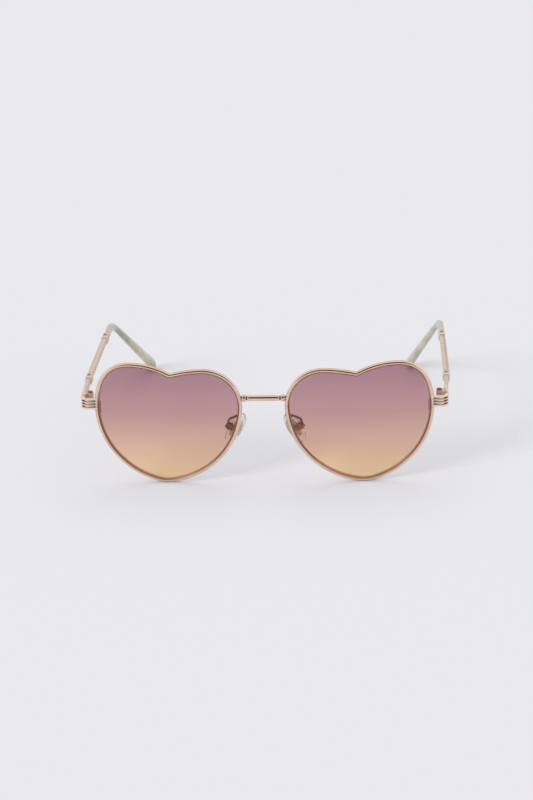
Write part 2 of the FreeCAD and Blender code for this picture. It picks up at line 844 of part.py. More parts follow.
def pad_arm(rim):
    """Wire from the back of the rim, back and outwards, then down to the pad box."""
    root = from_lens(rim_point(inner_half, arm_rise, rim_width / 2, 0))
    back = from_lens(rim_point(inner_half, arm_rise, rim_width / 2, -arm_first_run - rim_depth / 2))
    end = pad_place.multVec(Vector(box_outer, 0, 0))
    turn = back + Vector(arm_outward, arm_back, -arm_drop)
    wire = bent_wire([root, back, turn, end], arm_corner_radius, arm_radius)
    block = moved(pad_box_block(), pad_place)
    return largest(wire.cut(rim).cut(block))


# Assembly of the right side, mirrored for the left

rim_shape = moved(plain_rim.cut(slit()), lens_place)
endpiece_shape = endpiece(rim_shape)
core_shape = pad_core()

right_side = {
    "rim": rim_shape,
    "lens": moved(lens(), lens_place),
    "closing_block": moved(closing_block(plain_rim), lens_place),
    "rim_screw": moved(rim_screw(), lens_place),
    "endpiece": endpiece_shape,
    "front_hinge": front_hinge(endpiece_shape),
    "hinge_screw": hinge_screw(),
    "pad_arm": pad_arm(rim_shape),
    "pad_box": moved(pad_box(), pad_place),
    "pad_screw": moved(pad_screw(), pad_place),
    "pad_core": moved(core_shape, pad_place),
    "nose_pad": moved(nose_pad(core_shape), pad_place),
    "temple_hinge": temple_hinge(),
    "temple_shaft": temple_shaft(),
    "front_collar": collar(front_collar_setback, front_collar_length),
    "rear_collar": collar(rear_collar_setback, rear_collar_length),
    "collar_pins": collar_pins(),
    "temple_tip": temple_tip(),
}
folding_pieces = ("temple_hinge", "temple_shaft", "front_collar", "rear_collar", "collar_pins", "temple_tip")

pieces = {"bridge": bridge(Part.makeCompound([rim_shape, mirrored(rim_shape)]))}
for name, shape in right_side.items():
    if name in folding_pieces:
        shape.rotate(Vector(hinge_x, hinge_y, 0), axis_z, fold_at_rest)
    pieces[name + "_right"] = shape
    pieces[name + "_left"] = mirrored(shape)

# The origin is on the table under the middle of the whole object

whole = Part.makeCompound(list(pieces.values())).optimalBoundingBox(False)
shift = Vector(0, -(whole.YMin + whole.YMax) / 2, 0)

os.makedirs("parts", exist_ok=True)
for name, shape in pieces.items():
    placed = shape.copy()
    placed.translate(shift)
    placed.exportStep("parts/" + name + ".step")
    print(name, "solids", len(shape.Solids), "volume", round(shape.Volume, 3), "valid", shape.isValid())

print("size", [round(value, 3) for value in (whole.XLength, whole.YLength, whole.ZLength)])
print("hinge axis at", [round(value, 4) for value in hinge_base + shift])
print("pad pivot at", [round(value, 4) for value in pad_pivot + shift])
print("pad axis along", [round(value, 5) for value in pad_axis])
print("lens centre height", round(lens_rise, 3), "tip run", round(tip_run, 3), "shift", round(shift.y, 4))
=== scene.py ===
# %% [markdown]
# # Heart shaped sunglasses
# A pair of sunglasses with two heart lenses in a thin polished wire frame, standing open on a
# table. The solid model comes in as a fixed frame. Each cell below makes one piece of the glasses
# finer than the solid it stands for, and gives it the finish of the real thing: metal, tinted lens,
# clear pad or pearl plastic.

# %% Load the frame
import json
import math
import bmesh
import bpy
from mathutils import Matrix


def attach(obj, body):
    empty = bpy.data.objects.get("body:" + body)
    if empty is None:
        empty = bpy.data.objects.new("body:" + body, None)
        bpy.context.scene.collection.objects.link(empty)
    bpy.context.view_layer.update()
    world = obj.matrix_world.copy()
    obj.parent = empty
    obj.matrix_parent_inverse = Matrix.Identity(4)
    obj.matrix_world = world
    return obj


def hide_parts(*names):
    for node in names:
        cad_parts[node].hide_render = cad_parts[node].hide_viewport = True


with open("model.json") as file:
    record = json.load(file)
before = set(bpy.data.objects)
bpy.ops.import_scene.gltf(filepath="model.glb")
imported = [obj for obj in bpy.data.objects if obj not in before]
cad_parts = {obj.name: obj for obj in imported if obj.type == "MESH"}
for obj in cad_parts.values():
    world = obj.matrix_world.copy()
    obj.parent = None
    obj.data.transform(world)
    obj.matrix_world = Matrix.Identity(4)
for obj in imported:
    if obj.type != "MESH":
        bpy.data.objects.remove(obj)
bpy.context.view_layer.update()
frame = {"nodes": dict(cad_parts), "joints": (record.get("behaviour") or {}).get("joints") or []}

from bl_math import smoothstep
from mathutils import Matrix, Vector

# %% [markdown]
# ## How the pieces are made
# A mesh is drawn in millimetres, because the parts of glasses are small and round numbers are easy
# to check. The helper called pair turns it into metres, mirrors it for the other side, and lets it
# ride on its body. Left is on the side of negative X, and both sides are the same apart from the
# mirror. The hinge of the right temple is where the other places are measured from.

# %% Millimetres, sides and the hinge
mm = 0.001
sides = {"right": 1, "left": -1}
joints = {joint["name"]: joint for joint in frame["joints"]}
hinge_x, hinge_y, hinge_foot = [value / mm for value in joints["temple_right_fold"]["pos_m"]]
hinge_setback = 8.0
front_y = hinge_y - hinge_setback
print("hinge at", [round(value, 3) for value in (hinge_x, hinge_y, hinge_foot)])


# %% Helpers for finished pieces
def finished(bm, name, nodes, body, finish, sharp=40):
    """Make a piece out of a mesh in metres, smooth except at edges over an angle in degrees."""
    bmesh.ops.recalc_face_normals(bm, faces=bm.faces)
    mesh = bpy.data.meshes.new(name)
    bm.to_mesh(mesh)
    bm.free()
    mesh.polygons.foreach_set("use_smooth", [True] * len(mesh.polygons))
    mesh.set_sharp_from_angle(angle=math.radians(sharp))
    mesh.materials.append(finish)
    piece = bpy.data.objects.new(name, mesh)
    bpy.context.scene.collection.objects.link(piece)
    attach(piece, body)
    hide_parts(*nodes)
    return piece


def body_on(body, side):
    """Name of a body on one side. The front is one body for both sides."""
    return body if body == "front" else body + "_" + side


def pair(bm, name, node, body, finish, sharp=40):
    """Make the right piece and its mirrored left twin from one mesh in millimetres."""
    made = []
    for side, way in sides.items():
        copy = bm.copy()
        bmesh.ops.scale(copy, vec=(way * mm, mm, mm), verts=copy.verts)
        made.append(finished(copy, name + "_" + side, [node + "_" + side],
                             body_on(body, side), finish, sharp))
    bm.free()
    print(name, "faces", len(made[0].data.polygons))
    return made


# %% [markdown]
# ## Metal finishes
# All finishes are node materials on Object coordinates, so that they stay in place when a temple
# folds. A polished frame is never one flat colour: the plating is a little warmer in places, and
# the polish is softer where fingers and cloths have rubbed it. Noise at several scales gives tone,
# polish and fine marks. Where the mesh asks for it, a dark painted shade is laid over the metal: it
# stands in for the shadows and dark reflections in grooves, necks and gaps. The shader is less
# metallic there.

# %% Helpers for node materials
noise_low, noise_high = 0.3, 0.7


def new_finish(name):
    """Material with one Principled shader, its nodes and links, and Object coordinates ready."""
    finish = bpy.data.materials.new(name)
    finish.use_nodes = True
    nodes, links = finish.node_tree.nodes, finish.node_tree.links
    coordinates = nodes.new("ShaderNodeTexCoord")
    return finish, nodes, links, nodes["Principled BSDF"], coordinates.outputs["Object"]


def noise(nodes, links, place, scale, detail, distortion=0.0):
    """Noise over a place. Most of its values lie between noise_low and noise_high."""
    texture = nodes.new("ShaderNodeTexNoise")
    texture.inputs["Scale"].default_value = scale
    texture.inputs["Detail"].default_value = detail
    texture.inputs["Distortion"].default_value = distortion
    links.new(place, texture.inputs["Vector"])
    return texture.outputs["Fac"]


def spread(nodes, links, value, low, high, from_low=noise_low, from_high=noise_high):
    """Map a texture value to a range."""
    ranged = nodes.new("ShaderNodeMapRange")
    ranged.inputs["From Min"].default_value = from_low
    ranged.inputs["From Max"].default_value = from_high
    ranged.inputs["To Min"].default_value = low
    ranged.inputs["To Max"].default_value = high
    links.new(value, ranged.inputs["Value"])
    return ranged.outputs["Result"]


def ramp(nodes, links, value, stops):
    """Colour ramp with (position, colour) stops."""
    node = nodes.new("ShaderNodeValToRGB")
    elements = node.color_ramp.elements
    while len(elements) < len(stops):
        elements.new(0.5)
    for element, (position, colour) in zip(elements, stops):
        element.position = position
        element.color = (*colour, 1)
    links.new(value, node.inputs["Fac"])
    return node.outputs["Color"]


def bumped(nodes, links, height, strength, distance):
    """Normal of a surface that a texture makes slightly rough."""
    node = nodes.new("ShaderNodeBump")
    node.inputs["Strength"].default_value = strength
    node.inputs["Distance"].default_value = distance
    links.new(height, node.inputs["Height"])
    return node.outputs["Normal"]


def linear(red, green, blue):
    """A screen colour of 0 to 255 as the linear colour that a shader takes."""
    return tuple(((value / 255 + 0.055) / 1.055) ** 2.4 for value in (red, green, blue))


# %% Plated metal with painted shade
shaded_metallic = 0.15


def over_grooves(nodes, links, shader, colour, painted_shade, bare):
    """Lay a dark painted shade over a colour where the mesh has a high groove value."""
    groove = nodes.new("ShaderNodeAttribute")
    groove.attribute_name = "groove"
    depth = groove.outputs["Fac"]
    layers = nodes.new("ShaderNodeMixRGB")
    links.new(depth, layers.inputs["Fac"])
    links.new(colour, layers.inputs["Color1"])
    layers.inputs["Color2"].default_value = (*painted_shade, 1)
    links.new(spread(nodes, links, depth, bare, shaded_metallic, 0.0, 1.0), shader.inputs["Metallic"])
    return layers.outputs["Color"]


def metal(name, tones, rough, painted_shade=None, bare=1.0):
    """Metal of a dark, a light and an edge tone, a range of roughness and a share of bare metal."""
    dark, light, edge = tones
    finish, nodes, links, shader, place = new_finish(name)
    tone = noise(nodes, links, place, scale=140.0, detail=2.0)
    rub_and_highlight = noise(nodes, links, place, scale=420.0, detail=4.0)
    marks = noise(nodes, links, place, scale=5200.0, detail=2.0)
    colour = ramp(nodes, links, tone, [(noise_low, dark), (noise_high, light)])
    shader.inputs["Metallic"].default_value = bare
    if painted_shade:
        colour = over_grooves(nodes, links, shader, colour, painted_shade, bare)
    links.new(colour, shader.inputs["Base Color"])
    links.new(spread(nodes, links, rub_and_highlight, *rough), shader.inputs["Roughness"])
    links.new(bumped(nodes, links, marks, strength=0.04, distance=0.00002), shader.inputs["Normal"])
    shader.inputs["Specular Tint"].default_value = (*edge, 1)
    return finish


# %% Rose gold, pad gold in painted shade and screw metal
gold = linear(226, 197, 175), linear(238, 214, 195), linear(231, 207, 189)
# A lighter copy of the gold for the endpieces: a painted highlight
bright = linear(240, 218, 200), linear(250, 232, 216), linear(244, 224, 208)
satin = linear(214, 196, 183), linear(228, 210, 198), linear(220, 204, 192)
matt = linear(210, 184, 168), linear(226, 202, 187), linear(218, 198, 184)
# A darker copy of the gold for the pad arms and boxes: painted shade
gold_in_shade = linear(124, 80, 68), linear(170, 122, 102), linear(160, 120, 100)
screw_tones = linear(150, 116, 98), linear(180, 146, 126), linear(190, 160, 140)
# Colours of painted shade for the eyewire lip, the gaps between the beads, the bridge necks and the
# endpiece grooves
brown, dark_brown, black = linear(134, 90, 66), linear(78, 46, 32), linear(34, 18, 13)
necked_gold = metal("rose_gold_with_painted_neck_shade", gold, (0.05, 0.11), painted_shade=dark_brown)
lipped_gold = metal("rose_gold_with_painted_lip_shade", gold, (0.05, 0.10), painted_shade=brown)
grooved_gold = metal("rose_gold_with_painted_groove_shade", bright, (0.05, 0.10), painted_shade=black)
satin_gold = metal("rose_gold_satin", satin, (0.26, 0.36), painted_shade=brown, bare=0.6)
matt_gold = metal("rose_gold_matt", matt, (0.40, 0.52), bare=0.45)
pad_gold_in_shade = metal("pad_gold_in_shade", gold_in_shade, (0.22, 0.36))
screw_metal = metal("screw_polish", screw_tones, (0.18, 0.30))
metals = necked_gold, lipped_gold, grooved_gold, satin_gold, matt_gold, pad_gold_in_shade, screw_metal
print("metals", [finish.name for finish in metals])

# %% [markdown]
# ## The heart outline
# The lens is part of a sphere, and the wire that holds it lies on that sphere too. The heart is
# eight arcs that touch one another, and an arc on a sphere is a turn about an axis through the
# sphere's centre. So the whole ring is made by spinning one section eight times, each time from
# where the last turn ended. Extruding along a curve would also work, but spinning keeps the section
# the same all the way round.

# %% Eight turns make a heart
sphere_radius = 140.0
sphere_centre = Vector((0, sphere_radius, 0))
heart_start = Vector((-0.28126, 2.02251, -23.70937))
heart_turns = {
    "bottom": ((0.0117419, -0.9957410, -0.0914443), 24.97876),
    "outer flank": ((-0.0260810, -0.9984627, 0.0489091), 90.39914),
    "outer shoulder": ((0.1093866, -0.9902860, 0.0858389), 70.29952),
    "outer lobe": ((0.0984796, -0.9938865, -0.0499135), 31.85416),
    "notch": ((0.0088806, 0.9873190, -0.1585005), 41.68008),
    "inner lobe": ((-0.1018713, -0.9709993, -0.2162929), 13.32981),
    "inner shoulder": ((-0.0992120, -0.9934282, 0.0570742), 94.18106),
    "inner flank": ((0.0386723, -0.9971941, 0.0640960), 77.50263),
}
front_way = (heart_start - sphere_centre).normalized()
along_way = Vector(heart_turns["bottom"][0]).cross(heart_start - sphere_centre)
out_way = along_way.cross(front_way).normalized()
print("heart of", len(heart_turns), "turns")

# %% Place of the right lens
lens_middle_x, lens_middle_z = 37.85, 25.329
lens_tilt, lens_wrap = 5, 4
lens_place = (Matrix.Translation((lens_middle_x, front_y, lens_middle_z))
              @ Matrix.Rotation(math.radians(lens_tilt), 4, "X")
              @ Matrix.Rotation(math.radians(lens_wrap), 4, "Z"))
print("lens middle", [round(value, 3) for value in lens_place.translation])

# %% Helpers for sections and rings
merge_distance, degrees_per_step = 0.0005, 0.9


def at_start(aside, ahead):
    """Point of a section where the heart starts: aside from the opening, ahead to the front."""
    return heart_start + out_way * aside + front_way * ahead


def join(bm, verts):
    """Draw an edge from each point to the next."""
    for start, end in zip(verts, verts[1:]):
        bm.edges.new((start, end))


def round_corners(bm, verts, radius, steps):
    """Round corners of a drawn line with a vertex bevel."""
    bmesh.ops.bevel(bm, geom=verts, offset=radius, offset_type="OFFSET", affect="VERTICES",
                    segments=steps, profile=0.5, material=-1, clamp_overlap=True)


def turn(bm, geom, centre, axis, degrees, steps, merge=False):
    """Spin a section about an axis and give back its far end."""
    made = bmesh.ops.spin(bm, geom=geom, cent=centre, axis=axis, angle=math.radians(degrees),
                          steps=steps, dvec=(0, 0, 0), use_merge=merge, use_duplicate=False)
    return made["geom_last"]


def round_the_heart(bm):
    """Spin all that is drawn in the mesh round the heart and close the ring."""
    section = bm.verts[:] + bm.edges[:]
    for axis, degrees in heart_turns.values():
        section = turn(bm, section, sphere_centre, axis, degrees, round(degrees / degrees_per_step))
    bmesh.ops.remove_doubles(bm, verts=bm.verts, dist=merge_distance)
    print("ring closes with", len([edge for edge in bm.edges if edge.is_wire]), "loose edges")


def cap(bm):
    """Close every open loop of a mesh."""
    bmesh.ops.remove_doubles(bm, verts=bm.verts, dist=merge_distance)
    bmesh.ops.holes_fill(bm, edges=[edge for edge in bm.edges if edge.is_boundary], sides=0)


def edges_of(geom):
    return [item for item in geom if isinstance(item, bmesh.types.BMEdge)]


def verts_of(geom):
    return [item for item in geom if isinstance(item, bmesh.types.BMVert)]


# %% [markdown]
# ## Eyewire
# The eyewire is a drawn wire with a round crown in front and a groove on its inner side that grips
# the lens. The groove and the lip between crown and lens get a brown painted shade, for the shadow in
# the gap by the lens and the dark reflection along the flanks. The section is drawn with straight
# lines, the crown is spun from one point, and vertex bevels round the back. A value called groove on
# its points says where the painted shade lies: operators carry it along to every new point. A thin
# split behind the endpiece lets the lens in: two cuts and the faces between them taken out.

# %% Eyewire section and ring
rim_width, rim_half_depth, front_rise = 1.65, 1.1, 0.55
groove_half, groove_depth = 0.45, 0.5
lip_width, lip_gap = 0.45, 0.02
outer_rounding, inner_rounding, crown_steps = 0.5, 0.2, 14
crown_radius = (rim_width ** 2 / 4 + front_rise ** 2) / (2 * front_rise)
crown_middle = rim_width / 2
crown_low = rim_half_depth - crown_radius
outer_angle = math.asin(crown_middle / crown_radius)
lip_angle = math.asin((crown_middle - lip_width) / crown_radius)
lip_top = crown_low + crown_radius * math.cos(lip_angle)
eyewire = bmesh.new()
lip_shade = eyewire.verts.layers.float.new("groove")
outer_front, outer_back, inner_back, *groove_and_lip = [
    eyewire.verts.new(at_start(aside, ahead)) for aside, ahead in (
        (rim_width, rim_half_depth - front_rise), (rim_width, -rim_half_depth), (0, -rim_half_depth),
        (0, -groove_half), (groove_depth, 0), (0, groove_half),
        (lip_width - lip_gap, lip_top - lip_gap))]
# Painted shade on the groove and the lip
for vert in groove_and_lip:
    vert[lip_shade] = 1.0
crown_end = turn(eyewire, [outer_front], at_start(crown_middle, crown_low), out_way.cross(front_way),
                 math.degrees(outer_angle + lip_angle), crown_steps)
join(eyewire, [outer_front, outer_back, inner_back, *groove_and_lip, *verts_of(crown_end)])
round_corners(eyewire, [outer_back], outer_rounding, steps=5)
round_corners(eyewire, [inner_back], inner_rounding, steps=3)
round_the_heart(eyewire)

# %% Painted shade along the flanks, gone towards the top and weaker at the foot
shade_fades_from, shade_gone_above = 7.0, 16.0
shade_weakest_below, shade_full_from, foot_shade_share = -24.0, -10.0, 0.6
for vert in eyewire.verts:
    under_top = 1 - smoothstep(shade_fades_from, shade_gone_above, vert.co.z)
    over_foot = foot_shade_share + (1 - foot_shade_share) * smoothstep(shade_weakest_below, shade_full_from, vert.co.z)
    vert[lip_shade] *= under_top * over_foot
print("points with patina", len([vert for vert in eyewire.verts if vert[lip_shade] > 0.5]))

# %% Split of the eyewire
slit_height, slit_reach, outer_side = 0.12, 4, 20
slit_foot = lens_place.inverted() @ Vector((65.5369, front_y + 6.4036, 31.1664))


def faces_by_slit(low, high):
    """Faces on the outer side whose middle lies between two heights over the foot of the slit."""
    middles = [(face, face.calc_center_median()) for face in eyewire.faces]
    return [face for face, middle in middles
            if middle.x > outer_side and low < middle.z - slit_foot.z < high]


for level in (0, slit_height):
    near = faces_by_slit(-slit_reach, slit_reach)
    around = list(dict.fromkeys(item for face in near for item in (*face.edges, *face.verts)))
    bmesh.ops.bisect_plane(eyewire, geom=near + around, dist=0.00001,
                           plane_co=(0, 0, slit_foot.z + level), plane_no=(0, 0, 1))
bmesh.ops.delete(eyewire, geom=faces_by_slit(0, slit_height), context="FACES")
cap(eyewire)
bmesh.ops.transform(eyewire, matrix=lens_place, verts=eyewire.verts)
pair(eyewire, "eyewire", "rim", "front", lipped_gold, sharp=20)

# %% [markdown]
# ## Tinted lens
# A sunglass lens is an even shell cut from a sphere, with a V edge that sits in the groove of the
# eyewire. The edge is spun round the heart like the wire. Then each open loop is drawn in towards
# the lens centre, ring by ring, and every ring is laid back on its sphere, so that the reflections
# run smoothly over it. The tint is a colour ramp over the height. The V edge is ground and not
# polished, so it has a matt finish of its own: left clear, it would sparkle along the wire.

# %% Lens finish
lens_low, lens_high = 0.0016, 0.0500
tinted_lens, nodes, links, shader, place = new_finish("tinted_lens_gradient")
split = nodes.new("ShaderNodeSeparateXYZ")
links.new(place, split.inputs["Vector"])
height = spread(nodes, links, split.outputs["Z"], 0.0, 1.0, lens_low, lens_high)
tint = ramp(nodes, links, height, [
    (0.0, (1.0, 0.725, 0.39)), (0.28, (0.86, 0.55, 0.40)),
    (0.58, (0.61, 0.36, 0.34)), (1.0, (0.45, 0.24, 0.295))])
links.new(tint, shader.inputs["Base Color"])
smear = noise(nodes, links, place, scale=90.0, detail=3.0, distortion=0.6)
links.new(spread(nodes, links, smear, 0.0, 0.03), shader.inputs["Roughness"])
shader.inputs["IOR"].default_value = 1.45
shader.inputs["Transmission Weight"].default_value = 1.0
print("lens finish", tinted_lens.name)

# %% Light that the lens lets through
shares_let_through = {"Is Diffuse Ray": 0.98, "Is Shadow Ray": 0.55}
light_path = nodes.new("ShaderNodeLightPath")
seen = shader.outputs["BSDF"]
for ray, clear in shares_let_through.items():
    let_through = nodes.new("ShaderNodeBsdfTransparent")
    let_through.inputs["Color"].default_value = (clear, clear, clear, 1)
    lens_mix = nodes.new("ShaderNodeMixShader")
    links.new(light_path.outputs[ray], lens_mix.inputs["Fac"])
    links.new(seen, lens_mix.inputs[1])
    links.new(let_through.outputs["BSDF"], lens_mix.inputs[2])
    seen = lens_mix.outputs["Shader"]
links.new(seen, nodes["Material Output"].inputs["Surface"])
print("light let through", shares_let_through)

# %% Ground edge of the lens
ground_edge, nodes, links, shader, place = new_finish("ground_lens_edge")
grind = noise(nodes, links, place, scale=2600.0, detail=2.0)
edge_tone = ramp(nodes, links, grind, [
    (noise_low, linear(176, 138, 120)), (noise_high, linear(200, 164, 144))])
links.new(edge_tone, shader.inputs["Base Color"])
links.new(spread(nodes, links, grind, 0.5, 0.7), shader.inputs["Roughness"])
print("edge finish", ground_edge.name)

# %% Lens edge
lens_half, edge_half, edge_tip, edge_gap = 0.6, 0.37, 0.42, -0.05
lens = bmesh.new()
join(lens, [lens.verts.new(at_start(aside, ahead)) for aside, ahead in (
    (edge_gap, lens_half), (edge_gap, edge_half), (edge_tip, 0),
    (edge_gap, -edge_half), (edge_gap, -lens_half))])
round_the_heart(lens)
edge_faces = set(lens.faces)


# %% Helpers for open loops
def loop_verts(edges):
    """Points of some edges, each of them once."""
    return list(dict.fromkeys(vert for edge in edges for vert in edge.verts))


def stretch(bm, edges, matrix):
    """Extrude a loop of edges and move the new loop by a matrix."""
    made = bmesh.ops.extrude_edge_only(bm, edges=edges)["geom"]
    moved = verts_of(made)
    bmesh.ops.transform(bm, matrix=matrix, verts=moved)
    new_verts = set(moved)
    return [edge for edge in edges_of(made) if new_verts.issuperset(edge.verts)]


def close_at(bm, edges, pole):
    """Close an open loop with a fan of faces that meet at a pole."""
    last = stretch(bm, edges, Matrix.Identity(4))
    bmesh.ops.pointmerge(bm, verts=loop_verts(last), merge_co=pole)


# %% Lens faces
ring_shares = [1.0, 0.9, 0.78, 0.64, 0.5, 0.36, 0.22, 0.1]
near_sphere = 0.1


def fill_dish(bm, edges, radius):
    """Draw an open loop in towards the lens centre, keeping every ring on a sphere."""
    pole = sphere_centre + Vector((0, -radius, 0))
    for before, after in zip(ring_shares, ring_shares[1:]):
        shrink = Matrix.Scale(after / before, 4)
        edges = stretch(bm, edges, Matrix.Translation(pole) @ shrink @ Matrix.Translation(-pole))
        for vert in loop_verts(edges):
            vert.co = sphere_centre + (vert.co - sphere_centre).normalized() * radius
    close_at(bm, edges, pole)


open_edges = [edge for edge in lens.edges if edge.is_boundary]
for face_half in (lens_half, -lens_half):
    radius = sphere_radius + face_half
    border = [edge for edge in open_edges
              if abs((edge.verts[0].co - sphere_centre).length - radius) < near_sphere]
    fill_dish(lens, border, radius)
for face in lens.faces:
    face.material_index = 1 if face in edge_faces else 0
bmesh.ops.transform(lens, matrix=lens_place, verts=lens.verts)
for piece in pair(lens, "gradient_lens", "lens", "front", tinted_lens, sharp=25):
    piece.data.materials.append(ground_edge)

# %% [markdown]
# ## Bridge
# The bridge is a turned bar: a plain cylinder with a bead and a thin neck at each end, soldered to
# the rims. Stacked cylinders would leave seams between them, so it is made as turned work is: half
# a profile is drawn and spun once about the bar, then mirrored to the other end. The necks get a
# dark painted shade beside the bead, as the lip of the eyewire gets a brown one.

# %% Bridge profile
bridge_seat = Vector((9.5781, front_y + 0.3568, 36.5530))
bar_radius, neck_radius, knob_radius, seat_radius = 1.15, 0.8, 1.4, 0.85
bar_stop, neck_start, knob_start, knob_stop, seat_stop = 6.0, 6.43, 6.78, 8.48, 9.578
shoulder_rounding, knob_rounding = 0.25, 0.55
bar = bmesh.new()
neck_shade = bar.verts.layers.float.new("groove")
bar_line = [bar.verts.new((along, bridge_seat.y - radius, bridge_seat.z)) for along, radius in (
    (0, bar_radius), (bar_stop, bar_radius), (neck_start, neck_radius), (knob_start, neck_radius),
    (knob_start, knob_radius), (knob_stop, knob_radius), (knob_stop, seat_radius),
    (seat_stop, seat_radius), (seat_stop, 0))]
join(bar, bar_line)
# Painted dark shade in the necks beside the beads
for vert in bar_line[2:4] + bar_line[6:8]:
    vert[neck_shade] = 1.0
knob_corners = bar_line[4:6]
round_corners(bar, [bar_line[1]], shoulder_rounding, steps=4)
round_corners(bar, knob_corners, knob_rounding, steps=8)
print("profile points", len(bar.verts))

# %% Bridge bar
turn(bar, bar.verts[:] + bar.edges[:], bridge_seat, (1, 0, 0), 360, steps=48, merge=True)
bmesh.ops.remove_doubles(bar, verts=bar.verts, dist=merge_distance)
bmesh.ops.mirror(bar, geom=bar.verts[:] + bar.edges[:] + bar.faces[:], matrix=Matrix.Identity(4),
                 merge_dist=0.001, axis="X")
bmesh.ops.scale(bar, vec=(mm, mm, mm), verts=bar.verts)
bridge_bar = finished(bar, "bridge_bar", ["bridge"], "front", necked_gold)
print("bridge faces", len(bridge_bar.data.polygons))

# %% [markdown]
# ## Ridged endpiece
# From the rim a flat strip runs outwards, round a corner and back to the hinge. Four ridges run
# along it, with a black painted shade in the grooves between them for their dark reflections. Over
# the corner the painted shade fades out, where the grooves catch a highlight. Grooves that are cut
# in afterwards would break up at the corner, so the section is drawn once with the ridges on it,
# pulled along the front, spun round the corner and pulled back.

# %% Endpiece section
strip_thickness, strip_height, corner_radius = 1.5, 4.7, 2.8
strip_inner_x, strip_outer_x, strip_front_y = hinge_x + 2.1, hinge_x + 3.6, front_y + 3.2798
strip_z, strip_start_x, strip_stop_y = hinge_foot + 2.2, hinge_x - 3.0, hinge_y - 0.05
ridge_count, groove_floor, groove_half_width, crest_half_gap = 4, 0.95, 0.31, 0.38
crest_rounding, back_rounding = 0.12, 0.25
half_height, ridge_pitch = strip_height / 2, strip_height / ridge_count
section_points, crests, floors = [(0, -half_height), (strip_thickness, -half_height)], [1], []
for ridge in range(1, ridge_count):
    middle, first = ridge * ridge_pitch - half_height, len(section_points)
    crests += [first, first + 3]
    floors += [first + 1, first + 2]
    section_points += [
        (strip_thickness, middle - crest_half_gap), (groove_floor, middle - groove_half_width),
        (groove_floor, middle + groove_half_width), (strip_thickness, middle + crest_half_gap)]
crests.append(len(section_points))
section_points += [(strip_thickness, half_height), (0, half_height)]


def closed_loop(bm, corners):
    """Draw a closed loop of edges through a few corner points."""
    verts = [bm.verts.new(corner) for corner in corners]
    join(bm, verts + verts[:1])
    return verts


strip = bmesh.new()
groove_shade = strip.verts.layers.float.new("groove")
strip_verts = closed_loop(strip, [
    (strip_start_x, strip_front_y + strip_thickness - out, strip_z + up) for out, up in section_points])
# Painted black shade on the floors of the grooves
for index in floors:
    strip_verts[index][groove_shade] = 1.0
round_corners(strip, [strip_verts[index] for index in crests], crest_rounding, steps=3)
round_corners(strip, [strip_verts[0], strip_verts[-1]], back_rounding, steps=3)
print("section points", len(strip.verts))

# %% Endpiece round its corner
corner_highlight_from, corner_highlight_most, corner_highlight_to = -0.8, 0.1, 0.55
end_chamfer, end_width_share, end_height_share = 0.12, 0.86, 0.95


def turn_loop(bm, edges, centre, axis, degrees, steps):
    """Spin an open loop of edges about an axis and give back its far end."""
    return edges_of(turn(bm, edges + loop_verts(edges), centre, axis, degrees, steps))


end_corner = Vector((strip_outer_x - corner_radius, strip_front_y + corner_radius, strip_z))
loop = stretch(strip, strip.edges[:], Matrix.Translation((end_corner.x - strip_start_x, 0, 0)))
loop = turn_loop(strip, loop, end_corner, (0, 0, 1), 90, steps=14)
# The painted shade in the grooves fades out over the corner, where they catch a highlight
for vert in strip.verts:
    way_round = (vert.co.x - end_corner.x) / corner_radius
    rub_and_highlight = (smoothstep(corner_highlight_from, corner_highlight_most, way_round)
              - smoothstep(corner_highlight_most, corner_highlight_to, way_round))
    vert[groove_shade] *= 1 - rub_and_highlight
loop = stretch(strip, loop, Matrix.Translation((0, strip_stop_y - end_corner.y - end_chamfer, 0)))
end_middle = Vector((strip_inner_x + strip_thickness / 2, strip_stop_y - end_chamfer, strip_z))
stretch(strip, loop, Matrix.Translation(end_middle + Vector((0, end_chamfer, 0)))
        @ Matrix.Diagonal((end_width_share, 1, end_height_share, 1)) @ Matrix.Translation(-end_middle))
cap(strip)
pair(strip, "ridged_endpiece", "endpiece", "front", grooved_gold, sharp=50)

# %% [markdown]
# ## Temple
# Behind the hinge each temple is a flat leaf that narrows into a slim rod with a row of beads on
# its outer side. Between the beads the rod gets a brown painted shade, for the shade in the gaps.
# Two collars sit on the rod, each held by a small pin. The rod goes on as a core wire inside the
# plastic tip. Loops are pulled from place to place and resized on the way, which keeps the edges
# clean where one form runs into the next. At rest both temples stand turned in by a small angle
# about the hinge.

# %% Temple places
leaf_x, temple_x, temple_z = hinge_x + 2.8, hinge_x + 3.5, hinge_foot + 3.2
hinge_line = Vector((hinge_x, hinge_y, 0))
fold_at_rest = 1.2
folded_in = (Matrix.Translation(hinge_line) @ Matrix.Rotation(math.radians(fold_at_rest), 4, "Z")
             @ Matrix.Translation(-hinge_line))
rear_collar_end, ear_bend = 77.5, 87.5
toe_angle, droop_angle, bend_radius = 20.5, 40.0, 21.0
toe = Matrix.Rotation(math.radians(toe_angle), 4, "Y")
bend_axis = toe @ Vector((-1, 0, 0))
bend_base = Vector((temple_x, hinge_y + ear_bend, temple_z))
bend_centre = bend_base + toe @ Vector((0, 0, -bend_radius))
droop = Matrix.Rotation(math.radians(droop_angle), 4, bend_axis)
tip_way = droop @ Vector((0, 1, 0))
bend_end = bend_centre + droop @ (bend_base - bend_centre)
tip_run = 47.922
print("ear bend ends at", [round(value, 2) for value in bend_end])


# %% Helpers for loops across the temple
def on_temple(distance, x=temple_x):
    """Point of the temple's middle line at a distance behind the hinge."""
    return Vector((x, hinge_y + distance, temple_z))


def across_temple(bm, width, height, radius, distance, x=temple_x):
    """Rounded rectangle across the temple at a distance behind the hinge."""
    verts = closed_loop(bm, [
        (x + a * width / 2, hinge_y + distance, temple_z + b * height / 2)
        for a, b in ((1, 1), (-1, 1), (-1, -1), (1, -1))])
    round_corners(bm, verts, radius, steps=5)
    return bm.edges[:]


